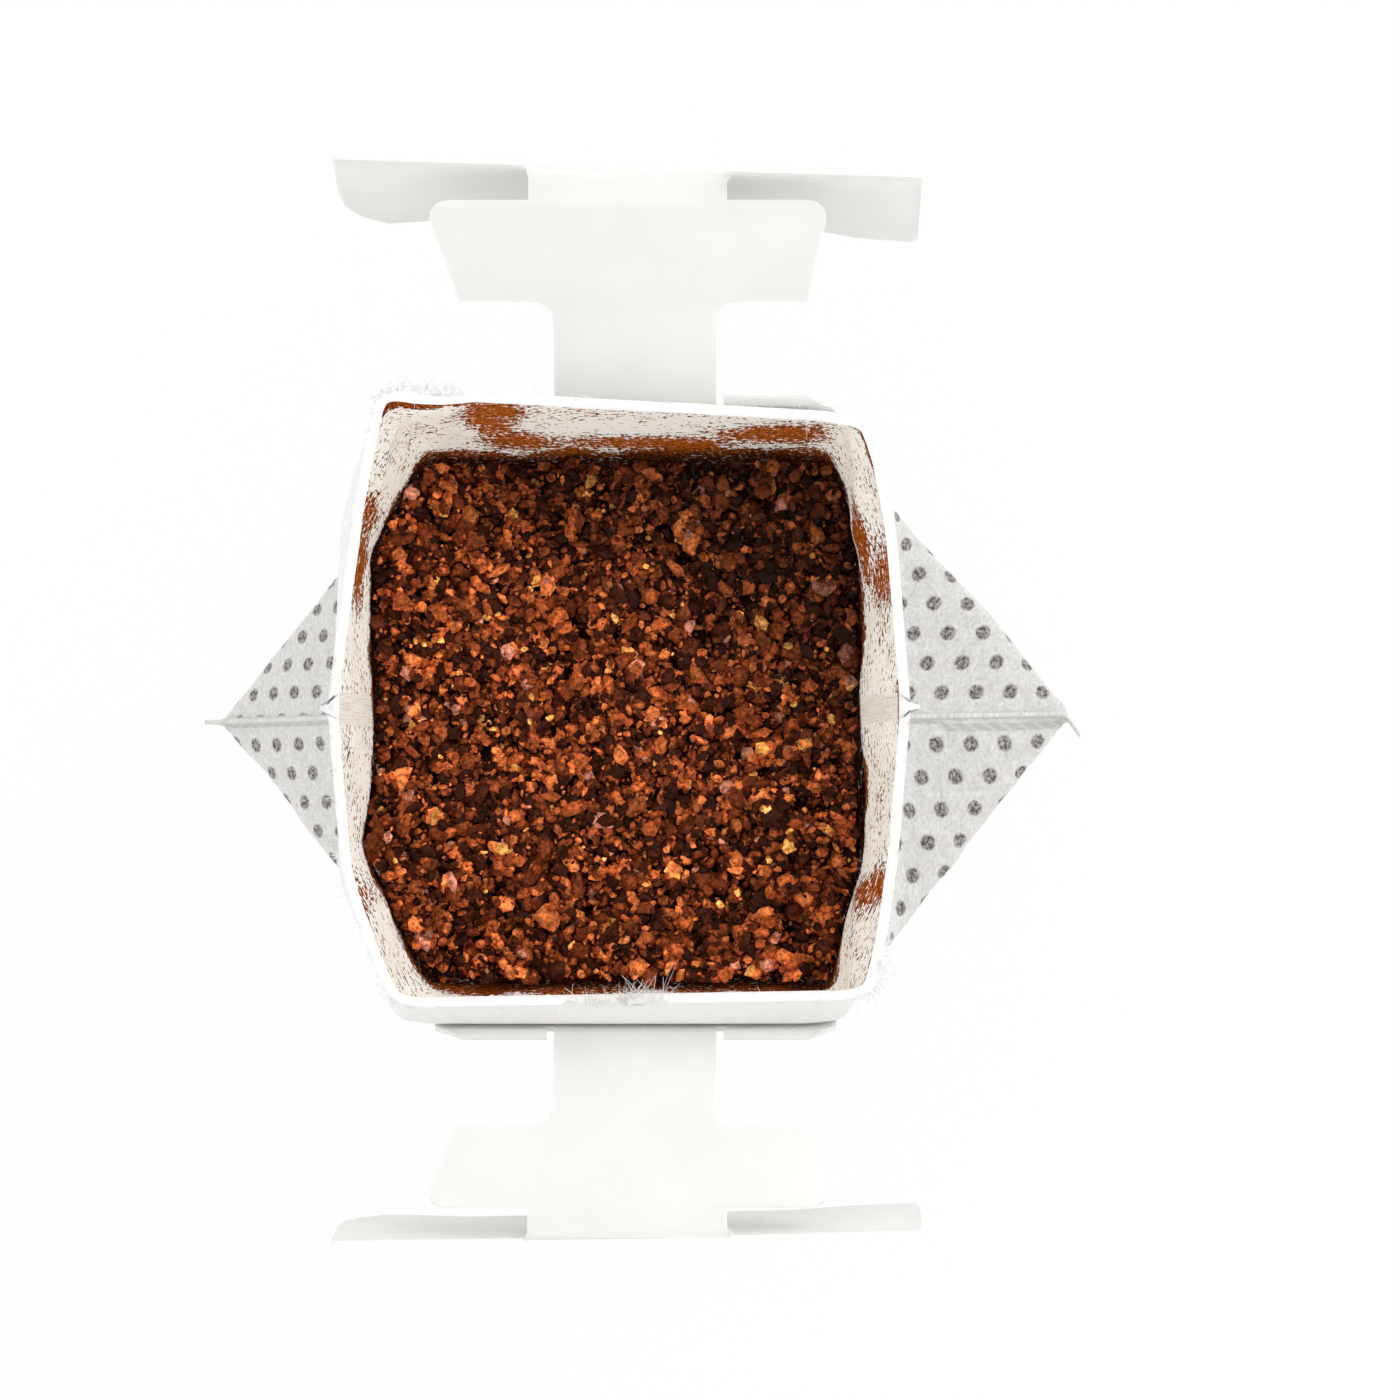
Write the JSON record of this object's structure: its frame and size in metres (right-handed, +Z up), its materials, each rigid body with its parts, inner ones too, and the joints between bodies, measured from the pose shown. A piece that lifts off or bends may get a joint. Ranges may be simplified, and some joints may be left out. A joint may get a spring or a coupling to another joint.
{
  "type": "drip coffee bag",
  "caption": "Opened single-serve drip coffee filter pouch with ground coffee, hung from a cup rim by two folded card hangers.",
  "frame": {"origin": "middle of the cup rim circle, in the plane of the rim that the hangers rest on", "axes": "+X across the bag from its left side seam to its right side seam, +Y towards the rear hanger, +Z up out of the cup"},
  "size_m": [0.0813, 0.0921, 0.0631],
  "materials": {
    "filter_cloth": "soft white nonwoven filter cloth, pressed all over with small round bond dots, heat-sealed at the sides and bottom",
    "ground_coffee": "coarse dry ground coffee, dark red-brown with lighter amber chips",
    "card": "matt uncoated white card, die-cut and folded, with soft cut edges"
  },
  "bodies": {
    "root": {"filter_bag": "filter_cloth", "coffee_grounds": "ground_coffee", "rear_hanger": "card", "front_hanger": "card"}
  },
  "joints": []
}
